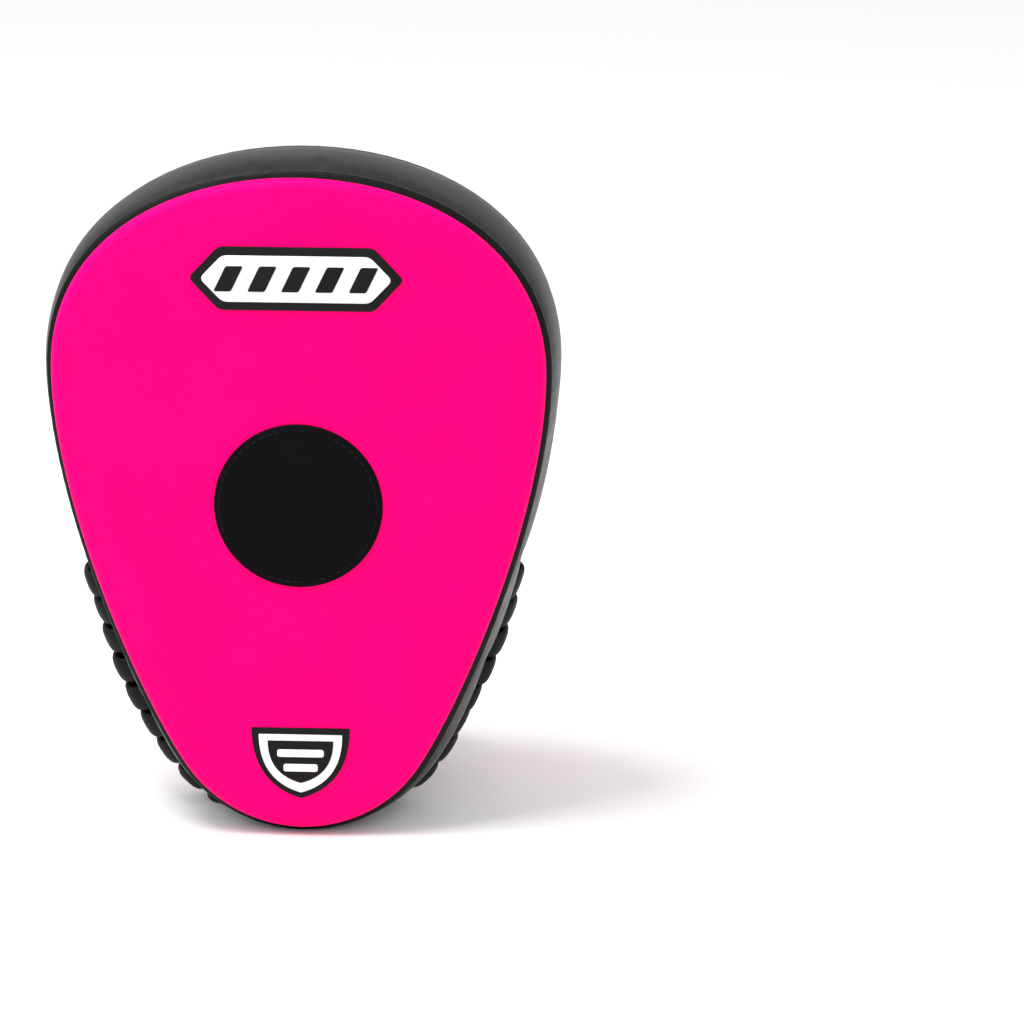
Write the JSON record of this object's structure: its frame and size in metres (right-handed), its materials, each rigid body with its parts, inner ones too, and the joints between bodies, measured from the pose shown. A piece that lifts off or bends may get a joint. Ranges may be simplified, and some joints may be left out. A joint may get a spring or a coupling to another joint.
{
  "type": "boxing focus mitt",
  "caption": "Egg-shaped padded striking target with a hand hood, open finger stalls and a padded wrist cuff with a strap on its back, worn on a coach's hand.",
  "frame": {"origin": "centre of the bounding box in X and Y, on the plane that the narrow wrist end of the pad stands on", "axes": "+Z from the wrist end to the finger end, -Y out of the striking face, +Y towards the hand hood, +X to the right as the striking face is seen from the front"},
  "size_m": [0.2072, 0.1402, 0.2792],
  "materials": {
    "pink_leather": "satin",
    "pink_gloss": "gloss",
    "black_leather": "satin",
    "lace": "satin",
    "foam": "matte",
    "lining": "matte",
    "webbing": "matte",
    "badge_black": "satin",
    "badge_white": "satin"
  },
  "bodies": {
    "mitt": {"back_panel": "pink_leather", "backing_foam": "foam", "core_foam": "foam", "cuff_cover": "black_leather", "cuff_foam": "foam", "cuff_hand_roll": "black_leather", "cuff_lining": "lining", "cuff_wrist_roll": "black_leather", "knuckle_band": "pink_gloss", "left_finger_floor": "pink_leather", "left_finger_stall": "pink_leather", "left_lacing": "lace", "left_outer_floor": "pink_leather", "left_outer_stall": "pink_leather", "left_side_panel": "pink_leather", "loop_patch": "webbing", "lower_badge": "badge_black", "lower_badge_mark": "badge_white", "middle_finger_floor": "pink_leather", "middle_finger_stall": "pink_leather", "palm_grip_cover": "black_leather", "palm_grip_foam": "foam", "right_finger_floor": "pink_leather", "right_finger_stall": "pink_leather", "right_lacing": "lace", "right_outer_floor": "pink_leather", "right_outer_stall": "pink_leather", "right_side_panel": "pink_leather", "side_wall": "black_leather", "strap_anchor": "webbing", "strike_face": "pink_leather", "strike_foam": "foam", "target_spot": "black_leather", "upper_badge": "badge_black", "upper_badge_mark": "badge_white"},
    "strap_flap": {"wrist_strap": "webbing", "hook_patch": "webbing", "strap_badge": "badge_white"}
  },
  "joints": [
    {"name": "strap_peel", "type": "hinge", "parent": "mitt", "child": "strap_flap", "pos_m": [0.0291, 0.06, 0.042], "axis": [0, 0, -1], "range_deg": [0, 130]}
  ]
}
